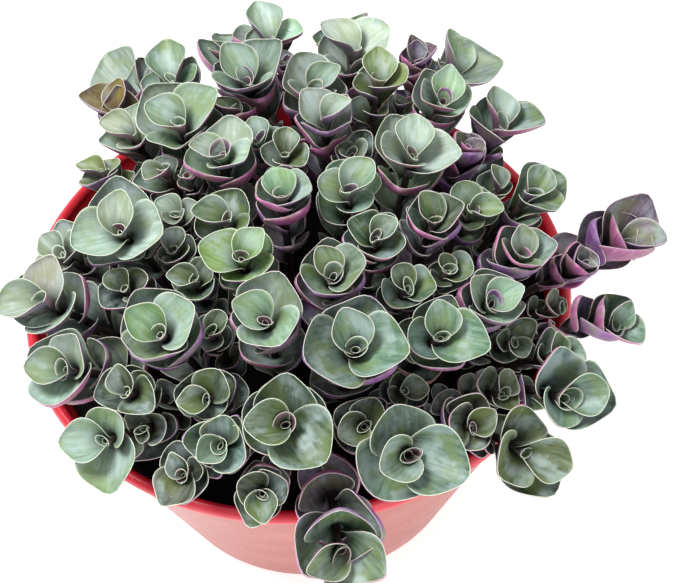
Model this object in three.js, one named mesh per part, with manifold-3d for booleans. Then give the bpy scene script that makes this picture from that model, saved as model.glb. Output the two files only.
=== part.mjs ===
// A potted turtle vine: a bowl pot, its soil and a dense mound of leafy stems.
// Millimetres, +Z up. The origin is the middle of the pot's flat base.

import * as THREE from 'three';
import { mergeVertices } from 'three/addons/utils/BufferGeometryUtils.js';
import Module from 'manifold-3d';

// Pot: its outer side as shares of the height with their radii, and a rolled lip above it
const RIM_RADIUS = 100;
const POT_HEIGHT = 112;
const BASE_RADIUS = 58;
const SIDE = [[0, BASE_RADIUS], [0.05, 61.2], [0.43, 76], [0.84, 92.6], [0.945, 95.6]];
const WALL = 2.2;
const FLOOR = 3;
const FLOOR_RADIUS = 56;
const LIP_WIDTH = 4.4;
const LIP_HEIGHT = 5.4;
const LIP_STEPS = 4;
const LIP_FROM = -0.45 * Math.PI;
const LIP_SWEEP = 1.5 * Math.PI;
const POT_SIDES = 36;

// Soil
const SOIL_TOP = 98;
const SOIL_CROWN = 2;
const SOIL_CROWN_SHARE = 0.6;
const SOIL_GAP = 0.3;
const SOIL_INSET = 1;
const HOLE_DEPTH = 9;
const HOLE_RADIUS = 2.6;
const HOLE_SIDES = 5;

// Mound of heads
const CROWN_HEIGHT = 50;
const CROWN_REACH = 150;
const CROWN_POWER = 2.2;
const SIGHT_PASSES = 40;

// Lines of the stems: where they stand and where they bend, as shares of the way to the head
const ROOT_SHARE = 0.85;
const ROOT_SHARE_LOST = 0.28;
const ELBOW_SHARE = 0.35;
const ELBOW_RISE = 0.55;
const RIM_CLEARANCE = 13;
const LEANS_OUT_FROM = 85;
const LEANS_OUT_BY = 112;

// Stem and bud
const STEM_RADIUS = 1.9;
const STEM_SINK = 8;
const STEM_SIDES = 3;
const BARE_STEPS = 2;
const SHEATH_RADIUS = 3.4;
const BUD_RADIUS = 2.4;
const BUD_HEIGHT = 7;
const TIP_RADIUS = 0.6;
const BUD_RINGS = [[0.15, SHEATH_RADIUS], [0.55, BUD_RADIUS], [1, TIP_RADIUS]];

// Leaves, with the youngest open leaf of a shoot first
const BLADE = 0.8;
const LEAF_PER_SPAN = 0.8;
const WIDTH_PER_LENGTH = 0.56;
const FOOT_WIDTH = 0.3;
const WIDEST_AT = 0.42;
const NARROWING = 2.3;
const POINTED = 0.85;
const LEAF_ROWS = [0.42, 0.78, 1];
const LEAF_COLUMNS = 2;
const DIVERGENCE = THREE.MathUtils.degToRad(130);
const LARGE_SPAN = 25.5;
const FEWEST_LEAVES = 2;
const SMALL_HEAD_LEAVES = 4;
const LARGE_HEAD_LEAVES = 5;
const USUAL_SPAN = 28;
const LOWEST_NODE = 0.2;
const LEAF_DROPS = [2, 5.5, 10, 15.5, 22];
const LEAF_GROWTH = [0.76, 0.92, 1.02, 1.08, 1.1];
const SHEATH_LEAN = THREE.MathUtils.degToRad(45);
const SHEATH_FADE = 0.26;
const SPREAD = [54, 66, 74, 76, 76].map(THREE.MathUtils.degToRad);
const SPREAD_LOST = THREE.MathUtils.degToRad(18);
const CUPPING = [6, 26, 54, 70, 76].map(THREE.MathUtils.degToRad);
const CUPPING_LEFT = 0.4;
const CUPPING_GAINED = 0.75;
const MOST_INCURVED = THREE.MathUtils.degToRad(8);
const BASE_CURL = THREE.MathUtils.degToRad(60);
const TIP_CURL = [44, 44, 46, 50, 52].map(THREE.MathUtils.degToRad);
const CURL_REACH = [0.4, 0.3, 0.25, 0.25, 0.25];
const MIDRIB_STEPS = 16;

// Closed heads: how far closing has gone, and how their leaves differ
const CLOSED_FROM = [0.72, 1];
const CLOSED_SPREAD = THREE.MathUtils.degToRad(14);
const CLOSED_DROPS = 0.1;

// Light that the heads turn to
const LIGHT_FROM = [0, -0.14, 0.99];
const TOWARDS_LIGHT = 0.35;
const CLOSED_TOWARDS_LIGHT = 0.15;

// Clear space between neighbours
const CLEARANCES = [0.7, 1.2, 1.8, 2.6];
const LEAF_SIZES = [1, 0.9, 0.8, 0.7, 0.6, 0.5];
const MOST_PRESSED = 0.2;
const SOFT_START = 0.8;
const SETTLE = 1.2;
const SPARE = 0.2;
const NEIGHBOUR_REACH = 60;
const AXIS_STEPS = 5;
const ABOVE_SOIL = 3;
const ABOVE_RIM = 1.6;
const RIM_ZONE = [80, 93];
const DROOP_SLOPE = 2.5;

// View of the photograph that the heads were placed in, with its middle at the origin of the pixels
const PHOTO = new THREE.Vector2(679, 583);
const FOCAL = 1636;
const VIEW_DISTANCE = 600;
const VIEW_ELEVATION = THREE.MathUtils.degToRad(51);
const VIEW_ROLL = THREE.MathUtils.degToRad(-3.5);
const VIEW_TARGET = new THREE.Vector3(15.2, -2.8, POT_HEIGHT - 3);

// Heads seen in the photograph: pixel, span in pixels, direction of the youngest open leaf in
// degrees clockwise from up, turn of the spiral (1 clockwise), lift above the mound in mm, and how
// far its leaves close. A row that shares its stem's name with another is a branch of the same stem.
const HEADS = [
  ['stem_01', 182, 131, 80, 292, 1, 4, 0.5],
  ['stem_01', 174, 88, 63, 350, 1, 0, 0.5],
  ['stem_02', 122, 116, 60, 20, -1, -4, 0.9],
  ['stem_02', 135, 140, 60, 285, -1, -4, 0.4],
  ['stem_03', 223, 161, 74, 265, -1, 2, 0.7],
  ['stem_04', 248, 86, 74, 320, -1, 2, 0.8],
  ['stem_04', 270, 48, 60, 345, 1, 2, 0.7],
  ['stem_05', 314, 96, 67, 60, 1, 0, 0.7],
  ['stem_05', 287, 70, 35, 200, 1, -2, 0.9],
  ['stem_06', 352, 60, 65, 310, 1, -2, 0.4],
  ['stem_07', 378, 88, 60, 0, 1, 2, 0.4],
  ['stem_08', 326, 126, 68, 80, -1, 4, 0.8],
  ['stem_09', 411, 161, 76, 5, -1, 4, 0.4],
  ['stem_10', 441, 106, 63, 10, -1, 2, 0.6],
  ['stem_10', 415, 68, 52, 340, 1, -2, 1],
  ['stem_11', 496, 132, 74, 0, 1, 2, 0.7],
  ['stem_11', 466, 160, 64, 200, -1, -6, 1],
  ['stem_12', 283, 202, 71, 340, 1, 4, 0.82],
  ['stem_13', 349, 197, 75, 40, -1, 2, 0.3],
  ['stem_14', 375, 242, 63, 60, -1, 0, 0.4],
  ['stem_15', 433, 226, 68, 320, 1, 2, 0.8],
  ['stem_16', 470, 215, 57, 100, -1, -2, 0.3],
  ['stem_16', 497, 192, 52, 330, 1, -4, 0.4],
  ['stem_17', 528, 200, 67, 30, 1, 0, 0.3],
  ['stem_18', 519, 259, 76, 350, -1, 4, 0.85],
  ['stem_19', 616, 252, 101, 125, 1, 6, 0.95],
  ['stem_19', 578, 270, 62, 200, 1, 0, 1],
  ['stem_20', 606, 328, 74, 30, 1, 2, 0.9],
  ['stem_21', 559, 398, 85, 80, 1, 2, 0.4],
  ['stem_21', 553, 358, 57, 345, 1, 0, 0.5],
  ['stem_22', 519, 451, 85, 110, 1, 0, 0.4],
  ['stem_23', 489, 307, 71, 70, -1, 2, 0.8],
  ['stem_24', 439, 340, 80, 350, 1, 2, 0.5],
  ['stem_25', 355, 352, 98, 338, 1, 6, 0.7],
  ['stem_26', 266, 325, 85, 287, -1, 4, 0.7],
  ['stem_27', 162, 337, 85, 300, 1, 4, 0.7],
  ['stem_28', 130, 394, 68, 350, 1, -2, 0.3],
  ['stem_28', 145, 430, 50, 180, 1, -8, 0.3],
  ['stem_29', 243, 263, 71, 45, -1, 2, 0.3],
  ['stem_30', 229, 226, 67, 270, -1, -2, 0.3],
  ['stem_31', 333, 280, 76, 325, 1, 4, 0.8],
  ['stem_32', 406, 292, 58, 320, 1, -6, 0.3],
  ['stem_33', 447, 274, 52, 330, 1, -6, 0.3],
  ['stem_34', 197, 284, 58, 270, 1, -6, 0.3],
  ['stem_35', 128, 292, 57, 320, 1, -6, 0.4],
  ['stem_36', 175, 255, 52, 10, 1, -6, 0.3],
  ['stem_37', 168, 176, 58, 200, 1, -4, 0.5],
  ['stem_37', 190, 182, 50, 150, -1, -6, 0.6],
  ['stem_38', 178, 220, 50, 170, 1, -6, 0.3],
  ['stem_39', 122, 235, 82, 10, -1, 4, 0.4],
  ['stem_40', 66, 258, 55, 310, 1, -8, 0.3],
  ['stem_41', 49, 306, 80, 250, 1, 2, 0.4],
  ['stem_42', 70, 372, 78, 270, 1, 0, 0.7],
  ['stem_43', 107, 441, 80, 265, 1, 0, 0.3],
  ['stem_44', 208, 400, 60, 260, 1, -4, 0.4],
  ['stem_44', 213, 337, 57, 60, 1, -8, 0.4],
  ['stem_45', 222, 446, 65, 230, 1, -2, 0.4],
  ['stem_46', 286, 426, 90, 265, -1, 2, 0.5],
  ['stem_47', 364, 427, 74, 250, 1, -4, 0.5],
  ['stem_48', 407, 455, 96, 245, -1, 4, 0.4],
  ['stem_49', 470, 428, 63, 50, -1, -2, 0.7],
  ['stem_49', 499, 395, 60, 20, 1, -8, 0.3],
  ['stem_50', 185, 475, 57, 340, -1, -6, 0.3],
  ['stem_51', 263, 493, 58, 170, 1, -6, 0.6],
  ['stem_52', 340, 547, 98, 260, -1, -4, 0.8],
  ['stem_53', 285, 160, 60, 10, 1, -2, 0.4],
  ['stem_53', 262, 146, 52, 340, -1, -4, 0.4],
  ['stem_54', 352, 158, 58, 150, 1, -4, 0.8],
  ['stem_54', 400, 110, 52, 200, 1, -6, 0.5],
  ['stem_55', 238, 118, 55, 270, 1, -6, 0.8],
  ['stem_56', 510, 345, 57, 160, 1, -6, 0.3],
  ['stem_47', 402, 392, 52, 90, 1, -12, 0.3],
  ['stem_39', 106, 180, 52, 300, 1, -8, 0.4],
  ['stem_18', 556, 310, 50, 150, 1, -10, 0.3],
];

// Heads on the far side of the mound, which the photograph doesn't show
const FAR_STEMS = ['stem_57', 'stem_57', 'stem_58', 'stem_58'];
const FAR_RADIUS = 108;
const FAR_FROM = THREE.MathUtils.degToRad(55);
const FAR_STEP = THREE.MathUtils.degToRad(23);
const FAR_HEIGHT = 12;
const FAR_SPAN = 25;
const FAR_CLOSING = 0.6;

const WELD = 1e-4;
const TINY = 1e-6;
const UP = new THREE.Vector3(0, 0, 1);
const X_AXIS = new THREE.Vector3(1, 0, 0);

const wasm = await Module();
wasm.setup();

// Solids and geometry

function toSolid(geometry) {
  const bare = geometry.clone();
  bare.deleteAttribute('normal');
  bare.deleteAttribute('uv');
  const merged = mergeVertices(bare, WELD);
  const corners = merged.index.array;
  const triVerts = [];
  for (let i = 0; i < corners.length; i += 3) {
    const [a, b, c] = [corners[i], corners[i + 1], corners[i + 2]];
    if (a !== b && b !== c && c !== a) {
      triVerts.push(a, b, c);
    }
  }
  const mesh = new wasm.Mesh({
    numProp: 3,
    vertProperties: new Float32Array(merged.attributes.position.array),
    triVerts: new Uint32Array(triVerts),
  });
  return new wasm.Manifold(mesh);
}

// The outer shell alone, so that a hollow sealed between crossing blades is filled
function toGeometry(solid) {
  const bodies = solid.decompose();
  bodies.sort((a, b) => b.volume() - a.volume());
  const mesh = bodies[0].getMesh();
  const geometry = new THREE.BufferGeometry();
  geometry.setAttribute('position', new THREE.BufferAttribute(new Float32Array(mesh.vertProperties), 3));
  geometry.setIndex(Array.from(mesh.triVerts));
  geometry.computeVertexNormals();
  return geometry;
}

function joined(solids) {
  return solids.reduce((whole, piece) => whole.add(piece));
}

// Photograph's view

function makeView() {
  const back = new THREE.Vector3(0, -Math.cos(VIEW_ELEVATION), Math.sin(VIEW_ELEVATION));
  const level = X_AXIS.clone();
  const rise = new THREE.Vector3().crossVectors(back, level);
  const right = level.clone().multiplyScalar(Math.cos(VIEW_ROLL)).addScaledVector(rise, Math.sin(VIEW_ROLL));
  const up = rise.clone().multiplyScalar(Math.cos(VIEW_ROLL)).addScaledVector(level, -Math.sin(VIEW_ROLL));
  const eye = VIEW_TARGET.clone().addScaledVector(back, VIEW_DISTANCE);
  return { back, right, up, eye };
}

const view = makeView();

function crown(radius) {
  return POT_HEIGHT + CROWN_HEIGHT * (1 - (radius / CROWN_REACH) ** CROWN_POWER);
}

// Where the line of sight through a pixel meets the mound
function placeOnMound(pixelX, pixelY, lift) {
  const sight = view.back.clone().negate()
    .addScaledVector(view.right, (pixelX - PHOTO.x / 2) / FOCAL)
    .addScaledVector(view.up, (PHOTO.y / 2 - pixelY) / FOCAL);
  let height = crown(0);
  const point = new THREE.Vector3();
  for (let pass = 0; pass < SIGHT_PASSES; pass += 1) {
    point.copy(view.eye).addScaledVector(sight, (height - view.eye.z) / sight.z);
    height += 0.5 * (crown(Math.hypot(point.x, point.y)) + lift - height);
  }
  return point;
}

// Stems

// A stem rises from the soil nearer the middle than its head, and clears the rim where it leans out
function stemCurve(root, head) {
  const outward = Math.hypot(head.x, head.y);
  const elbow = new THREE.Vector3().lerpVectors(root, head, ELBOW_SHARE);
  const leaning = THREE.MathUtils.smoothstep(outward, LEANS_OUT_FROM, LEANS_OUT_BY);
  const clearOfRim = THREE.MathUtils.lerp(root.z, POT_HEIGHT + RIM_CLEARANCE, leaning);
  elbow.z = Math.max(root.z + ELBOW_RISE * (head.z - root.z), clearOfRim);
  return new THREE.QuadraticBezierCurve3(root, elbow, head);
}

function rootUnder(head) {
  const share = ROOT_SHARE - ROOT_SHARE_LOST * Math.hypot(head.x, head.y) / CROWN_REACH;
  return new THREE.Vector3(head.x * share, head.y * share, SOIL_TOP + SOIL_CROWN + SOIL_GAP);
}

// Direction in which the leaves at t stand: along the stem, turned up towards the light
function upright(curve, closed, t) {
  const turned = TOWARDS_LIGHT + CLOSED_TOWARDS_LIGHT * closed;
  return curve.getTangent(t).lerp(new THREE.Vector3(...LIGHT_FROM), turned).normalize();
}

// Line and axis of a shoot, and the direction of its youngest open leaf
function setOut(head, root, spin, closing) {
  const curve = stemCurve(root, head);
  const closed = THREE.MathUtils.smoothstep(closing, ...CLOSED_FROM);
  const axis = upright(curve, closed, 1);
  const first = new THREE.Vector3()
    .addScaledVector(view.right, Math.sin(spin))
    .addScaledVector(view.up, Math.cos(spin));
  first.addScaledVector(axis, -first.dot(axis)).normalize();
  return { curve, closed, axis, first, root, length: curve.getLength() };
}

function layOut() {
  const rows = HEADS.map(([name, x, y, span, spin, turn, lift, closing]) => {
    const head = placeOnMound(x, y, lift);
    const scale = FOCAL / view.eye.distanceTo(head);
    return { name, head, span: span / scale, spin: THREE.MathUtils.degToRad(spin), turn, closing };
  });
  FAR_STEMS.forEach((name, index) => {
    const angle = FAR_FROM + index * FAR_STEP;
    const head = new THREE.Vector3(Math.cos(angle), Math.sin(angle), 0).multiplyScalar(FAR_RADIUS);
    head.z = POT_HEIGHT + FAR_HEIGHT;
    const turn = index % 2 ? 1 : -1;
    rows.push({ name, head, span: FAR_SPAN, spin: index, turn, closing: FAR_CLOSING });
  });
  const roots = new Map();
  for (const row of rows) {
    if (!roots.has(row.name)) {
      const heads = rows.filter((other) => other.name === row.name).map((other) => other.head);
      const sum = heads.reduce((total, head) => total.add(head), new THREE.Vector3());
      roots.set(row.name, rootUnder(sum.divideScalar(heads.length)));
    }
  }
  return rows.map((row) => ({ ...row, ...setOut(row.head, roots.get(row.name), row.spin, row.closing) }));
}

function axisLine(shoot) {
  const points = shoot.curve.getPoints(AXIS_STEPS);
  points.push(shoot.head.clone().addScaledVector(shoot.axis, BUD_HEIGHT / 2));
  return points;
}

const shoots = layOut();
for (const shoot of shoots) {
  shoot.line = axisLine(shoot);
}

// Space of each shoot: everything that is nearer to its own stem than to any other, by its span

const segment = new THREE.Line3();

function nearest(line, point, target) {
  let best = Infinity;
  const here = new THREE.Vector3();
  for (let i = 0; i + 1 < line.length; i += 1) {
    segment.set(line[i], line[i + 1]);
    segment.closestPointToPoint(point, true, here);
    const gap = here.distanceToSquared(point);
    if (gap < best) {
      best = gap;
      target.copy(here);
    }
  }
  return target;
}

for (const shoot of shoots) {
  const nearby = shoots.filter((other) => other.head.distanceTo(shoot.head) < NEIGHBOUR_REACH);
  shoot.others = nearby.filter((other) => other !== shoot);
}

// Distance along a ray from the own stem to the border with one neighbour
function borderAlong(direction, own, other, ratio) {
  const gap = new THREE.Vector3().subVectors(other, own);
  const along = gap.dot(direction);
  const square = gap.lengthSq();
  const root = along * along - (1 - ratio * ratio) * square;
  if (root < 0) {
    return Infinity;
  }
  const reach = along + Math.sqrt(root);
  return reach > TINY ? square / reach : Infinity;
}

function lowest(radius) {
  const atRim = THREE.MathUtils.smoothstep(radius, ...RIM_ZONE);
  const ground = THREE.MathUtils.lerp(SOIL_TOP + SOIL_CROWN + ABOVE_SOIL, POT_HEIGHT + ABOVE_RIM, atRim);
  return ground - DROOP_SLOPE * Math.max(0, radius - RIM_RADIUS - ABOVE_RIM);
}

// Presses a point of a leaf back into its shoot's space, and up from the soil and the rim
function press(point, shoot, clearance) {
  const own = nearest(shoot.line, point, new THREE.Vector3());
  const direction = new THREE.Vector3().subVectors(point, own);
  const reach = direction.length();
  if (reach > TINY) {
    direction.divideScalar(reach);
    let limit = Infinity;
    const other = new THREE.Vector3();
    for (const neighbour of shoot.others) {
      nearest(neighbour.line, point, other);
      const border = borderAlong(direction, own, other, neighbour.span / shoot.span);
      limit = Math.min(limit, border - clearance);
    }
    limit = Math.max(limit, STEM_RADIUS);
    const start = SOFT_START * limit;
    if (reach > start) {
      const room = limit - start;
      point.copy(own).addScaledVector(direction, start + room * (1 - Math.exp((start - reach) / room)));
    }
  }
  const floor = lowest(Math.hypot(point.x, point.y));
  point.z = floor + SETTLE * Math.log(1 + Math.exp((point.z - floor) / SETTLE));
  return point;
}

// Leaves

// Half the width of a leaf at a share of its length, broad at the foot and drawn to a short tip
function halfWidth(s, widest) {
  const rise = Math.sin(Math.PI / 2 * Math.min(1, s / WIDEST_AT)) ** 2;
  const past = Math.max(0, (s - WIDEST_AT) / (1 - WIDEST_AT));
  return widest * (FOOT_WIDTH + (1 - FOOT_WIDTH) * rise) * (1 - past ** NARROWING) ** POINTED;
}

// Lean of the midrib from the shoot's direction: upright in the sheath, spread, then cupped
function leanAt(leaf, s) {
  return leaf.spread + (SHEATH_LEAN - leaf.spread) * Math.exp(-s / SHEATH_FADE) - leaf.cupping * s * s;
}

// How far out and how far along the shoot the midrib has come at a share of its length
function midrib(leaf, s) {
  const step = s / MIDRIB_STEPS;
  const leans = Array.from({ length: MIDRIB_STEPS }, (unused, i) => leanAt(leaf, (i + 0.5) * step));
  const total = (part) => leans.reduce((sum, lean) => sum + part(lean) * step * leaf.length, 0);
  return [total(Math.sin), total(Math.cos)];
}

// A point of a cupped, clasping leaf: s runs from base to tip and v from edge to edge
function leafPoint(leaf, s, v) {
  const lean = leanAt(leaf, s);
  const [out, along] = midrib(leaf, s);
  const curl = leaf.tipCurl + (BASE_CURL - leaf.tipCurl) * Math.exp(-((s / leaf.curlReach) ** 2));
  const width = halfWidth(s, WIDTH_PER_LENGTH * leaf.length);
  const radius = width / curl;
  const lift = radius * (1 - Math.cos(curl * v));
  return leaf.root.clone()
    .addScaledVector(leaf.outward, out + STEM_RADIUS / 2 - lift * Math.cos(lean))
    .addScaledVector(leaf.axis, along + lift * Math.sin(lean))
    .addScaledVector(leaf.across, radius * Math.sin(curl * v));
}

// How far along its stem the node of a leaf lies
function nodeAt(shoot, age) {
  const drop = LEAF_DROPS[age] * (1 - CLOSED_DROPS * shoot.closed);
  return 1 - drop * shoot.span / USUAL_SPAN / shoot.length;
}

// Azimuth of a leaf about its stem, from the direction of the youngest open leaf
function azimuth(shoot, age) {
  return -shoot.turn * DIVERGENCE * age;
}

function makeLeaf(shoot, age) {
  const t = nodeAt(shoot, age);
  const axis = upright(shoot.curve, shoot.closed, t);
  const outward = shoot.first.clone().applyAxisAngle(shoot.axis, azimuth(shoot, age));
  outward.addScaledVector(axis, -outward.dot(axis)).normalize();
  const spread = SPREAD[age] + SPREAD_LOST * (0.5 - shoot.closing) - CLOSED_SPREAD * shoot.closed;
  const cupping = CUPPING[age] * (CUPPING_LEFT + CUPPING_GAINED * shoot.closing);
  return {
    root: shoot.curve.getPoint(t),
    axis,
    outward,
    across: new THREE.Vector3().crossVectors(axis, outward),
    length: LEAF_PER_SPAN * shoot.span * LEAF_GROWTH[age],
    spread,
    cupping: Math.min(cupping, spread + MOST_INCURVED),
    tipCurl: TIP_CURL[age],
    curlReach: CURL_REACH[age],
  };
}

// Points in the middle of a blade, row by row, with the tip alone in the last row
function bladeRows(leaf, place) {
  return LEAF_ROWS.map((s, index) => {
    const columns = index + 1 < LEAF_ROWS.length ? [-1, 0, 1] : [0];
    return columns.map((v) => place(leafPoint(leaf, s, v)));
  });
}

// Whether points of the blade, with the middles between its rows, stay in the shoot's space
function staysClear(rows, shoot) {
  const points = rows.flat();
  for (let i = 0; i + 1 < rows.length; i += 1) {
    for (const from of rows[i]) {
      for (const to of rows[i + 1]) {
        points.push(from.clone().lerp(to, 0.5));
      }
    }
  }
  const own = new THREE.Vector3();
  const other = new THREE.Vector3();
  return points.every((point) => {
    const reach = nearest(shoot.line, point, own).distanceTo(point) + BLADE / 2;
    return reach < 2 * STEM_RADIUS || shoot.others.every((neighbour) => {
      const gap = nearest(neighbour.line, point, other).distanceTo(point) - BLADE / 2 - SPARE;
      return reach / shoot.span < gap / neighbour.span;
    });
  });
}

// The largest blade that the space of its shoot holds without pressing it out of its own form, if any
function makeBlade(shoot, age) {
  const leaf = makeLeaf(shoot, age);
  const fullLength = leaf.length;
  for (const size of LEAF_SIZES) {
    leaf.length = size * fullLength;
    const free = bladeRows(leaf, (point) => point).flat();
    for (const clearance of CLEARANCES) {
      const rows = bladeRows(leaf, (point) => press(point, shoot, clearance));
      const pressed = Math.max(...rows.flat().map((point, index) => point.distanceTo(free[index])));
      if (pressed < MOST_PRESSED * leaf.length && staysClear(rows, shoot)) {
        return rows;
      }
    }
  }
  return null;
}

// As many leaves as have their nodes high enough above the soil and the rim
function leafCount(shoot) {
  let count = shoot.span < LARGE_SPAN ? SMALL_HEAD_LEAVES : LARGE_HEAD_LEAVES;
  while (count > FEWEST_LEAVES) {
    const node = shoot.curve.getPoint(Math.max(0, nodeAt(shoot, count - 1)));
    if (nodeAt(shoot, count - 1) > LOWEST_NODE && node.z > lowest(Math.hypot(node.x, node.y)) + ABOVE_SOIL) {
      break;
    }
    count -= 1;
  }
  return count;
}

// Directions out of the underside of a blade at each of its points
function undersides(rows) {
  return rows.map((row, index) => {
    const before = rows[Math.max(0, index - 1)];
    const after = rows[Math.min(rows.length - 1, index + 1)];
    const along = new THREE.Vector3().subVectors(after[after.length >> 1], before[before.length >> 1]);
    const wide = row.length > 1 ? row : before;
    const step = row.length > 1 ? 1 : LEAF_COLUMNS;
    return row.map((point, column) => {
      const from = wide[Math.max(0, column - step)];
      const to = wide[Math.min(LEAF_COLUMNS, column + step)];
      return new THREE.Vector3().subVectors(to, from).cross(along).normalize();
    });
  });
}

// A closed surface that is built up point by point
class Skin {
  constructor() {
    this.points = [];
    this.faces = [];
  }

  add(point) {
    this.points.push(point);
    return this.points.length - 1;
  }

  // Triangles between two rows of points, which need not hold as many
  strip(lower, upper, flipped) {
    const [across, beyond] = [lower.length - 1, upper.length - 1];
    let i = 0;
    let j = 0;
    while (i < across || j < beyond) {
      const next = beyond > 0 && (j + 0.5) / beyond <= (i + 0.5) / across;
      const face = next ? [lower[i], upper[j + 1], upper[j]] : [lower[i], lower[i + 1], upper[j]];
      this.faces.push(...(flipped ? face.reverse() : face));
      if (next) {
        j += 1;
      } else {
        i += 1;
      }
    }
  }

  // Grows a blade out of one side of the stem, between the edges below and above that side
  grow(edgeBelow, edgeAbove, rows) {
    const normals = undersides(rows);
    const face = (offset) => rows.map((row, i) => row.map((point, j) => (
      this.add(point.clone().addScaledVector(normals[i][j], offset))
    )));
    const under = [edgeBelow, ...face(BLADE / 2)];
    const top = [edgeAbove, ...face(-BLADE / 2)];
    for (let i = 0; i < rows.length; i += 1) {
      this.strip(under[i], under[i + 1], false);
      this.strip(top[i], top[i + 1], true);
      const left = [under[i][0], under[i + 1][0], top[i + 1][0], top[i][0]];
      const right = [under[i].at(-1), top[i].at(-1), top[i + 1].at(-1), under[i + 1].at(-1)];
      for (const [a, b, c, d] of [left, right]) {
        this.faces.push(a, b, c, a, c, d);
      }
    }
  }

  close() {
    const geometry = new THREE.BufferGeometry().setFromPoints(this.points);
    geometry.setIndex(this.faces);
    return toSolid(geometry);
  }
}

// Rings of a stem from the bottom of its hole to the tip of its bud
function stemRings(shoot, count) {
  const bud = Math.min(1, shoot.span / USUAL_SPAN);
  const foot = shoot.root.clone().setZ(SOIL_TOP - STEM_SINK);
  const rings = [{ centre: foot, axis: UP, radius: STEM_RADIUS }];
  const lowestNode = nodeAt(shoot, count - 1);
  for (let i = 0; i < BARE_STEPS; i += 1) {
    const t = lowestNode * i / BARE_STEPS;
    const axis = i === 0 ? UP : shoot.curve.getTangent(t);
    rings.push({ centre: shoot.curve.getPoint(t), axis, radius: STEM_RADIUS });
  }
  for (let age = count - 1; age >= 0; age -= 1) {
    const t = nodeAt(shoot, age);
    const radius = THREE.MathUtils.lerp(STEM_RADIUS, bud * SHEATH_RADIUS, (count - age) / count);
    rings.push({ centre: shoot.curve.getPoint(t), axis: shoot.curve.getTangent(t), radius, age });
  }
  for (const [rise, radius] of BUD_RINGS) {
    const centre = shoot.head.clone().addScaledVector(shoot.axis, bud * rise * BUD_HEIGHT);
    rings.push({ centre, axis: shoot.axis, radius: bud * radius });
  }
  return rings;
}

// Corners of each ring of a stem, turned so that a side faces each leaf
function setCorners(rings, shoot, count) {
  const firstNode = rings.findIndex((ring) => ring.age !== undefined);
  const side = 2 * Math.PI / STEM_SIDES;
  const twist = shoot.turn * (DIVERGENCE - side);
  rings.forEach((ring, index) => {
    const zero = shoot.first.clone().addScaledVector(ring.axis, -shoot.first.dot(ring.axis)).normalize();
    const quarter = new THREE.Vector3().crossVectors(ring.axis, zero);
    const start = azimuth(shoot, count - 1) + twist * (index - firstNode - 0.5) - side / 2;
    ring.corners = Array.from({ length: STEM_SIDES }, (unused, corner) => {
      const angle = start + corner * side;
      return ring.centre.clone()
        .addScaledVector(zero, ring.radius * Math.cos(angle))
        .addScaledVector(quarter, ring.radius * Math.sin(angle));
    });
    ring.side = THREE.MathUtils.euclideanModulo((index - firstNode) * shoot.turn, STEM_SIDES);
  });
}

// The bare stem with its bud
function makeStem(rings) {
  const skin = new Skin();
  const rows = rings.map((ring) => ring.corners.map((corner) => skin.add(corner)));
  for (let i = 0; i + 1 < rows.length; i += 1) {
    skin.strip([...rows[i], rows[i][0]], [...rows[i + 1], rows[i + 1][0]], false);
  }
  skin.faces.push(...rows[0].toReversed(), ...rows.at(-1));
  return skin.close();
}

// A leaf with its foot on one whole side of a stretch of the stem
function makeLeafOn(below, above, rows) {
  const skin = new Skin();
  const [a, b] = [below.side, (below.side + 1) % STEM_SIDES];
  const foot = [below.corners[a], below.corners[b], above.corners[a], above.corners[b]];
  const [p, q, r, s] = foot.map((corner) => skin.add(corner));
  skin.grow([p, q], [r, s], rows);
  skin.strip([p, q], [r, s], true);
  return skin.close();
}

function makeShoot(shoot) {
  const count = leafCount(shoot);
  const rings = stemRings(shoot, count);
  setCorners(rings, shoot, count);
  const pieces = [makeStem(rings)];
  rings.forEach((ring, index) => {
    const rows = ring.age === undefined ? null : makeBlade(shoot, ring.age);
    if (rows) {
      pieces.push(makeLeafOn(ring, rings[index + 1], rows));
    }
  });
  return joined(pieces);
}

// Pot and soil

function bodyCurve(inset) {
  return SIDE.map(([share, radius]) => new THREE.Vector2(radius - inset, share * POT_HEIGHT));
}

function lipCurve() {
  const middle = new THREE.Vector2(RIM_RADIUS - LIP_WIDTH / 2, POT_HEIGHT - LIP_HEIGHT / 2);
  return Array.from({ length: LIP_STEPS + 1 }, (unused, i) => {
    const angle = LIP_FROM + i / LIP_STEPS * LIP_SWEEP;
    return new THREE.Vector2(
      middle.x + Math.cos(angle) * LIP_WIDTH / 2,
      middle.y + Math.sin(angle) * LIP_HEIGHT / 2,
    );
  });
}

function lathe(profile) {
  const turned = new THREE.LatheGeometry(profile, POT_SIDES);
  turned.rotateX(Math.PI / 2);
  return turned;
}

function makePot() {
  const inner = bodyCurve(WALL).slice(1).reverse();
  const floor = [new THREE.Vector2(FLOOR_RADIUS, FLOOR), new THREE.Vector2(0, FLOOR)];
  return lathe([new THREE.Vector2(0, 0), ...bodyCurve(0), ...lipCurve(), ...inner, ...floor]);
}

// Radius of the soil at a height, which follows the pot's inner side
function soilRadius(height) {
  const side = bodyCurve(WALL + SOIL_GAP);
  const above = side.findIndex((point) => point.y > height);
  const [low, high] = [side[above - 1], side[above]];
  return THREE.MathUtils.mapLinear(height, low.y, high.y, low.x, high.x);
}

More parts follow.
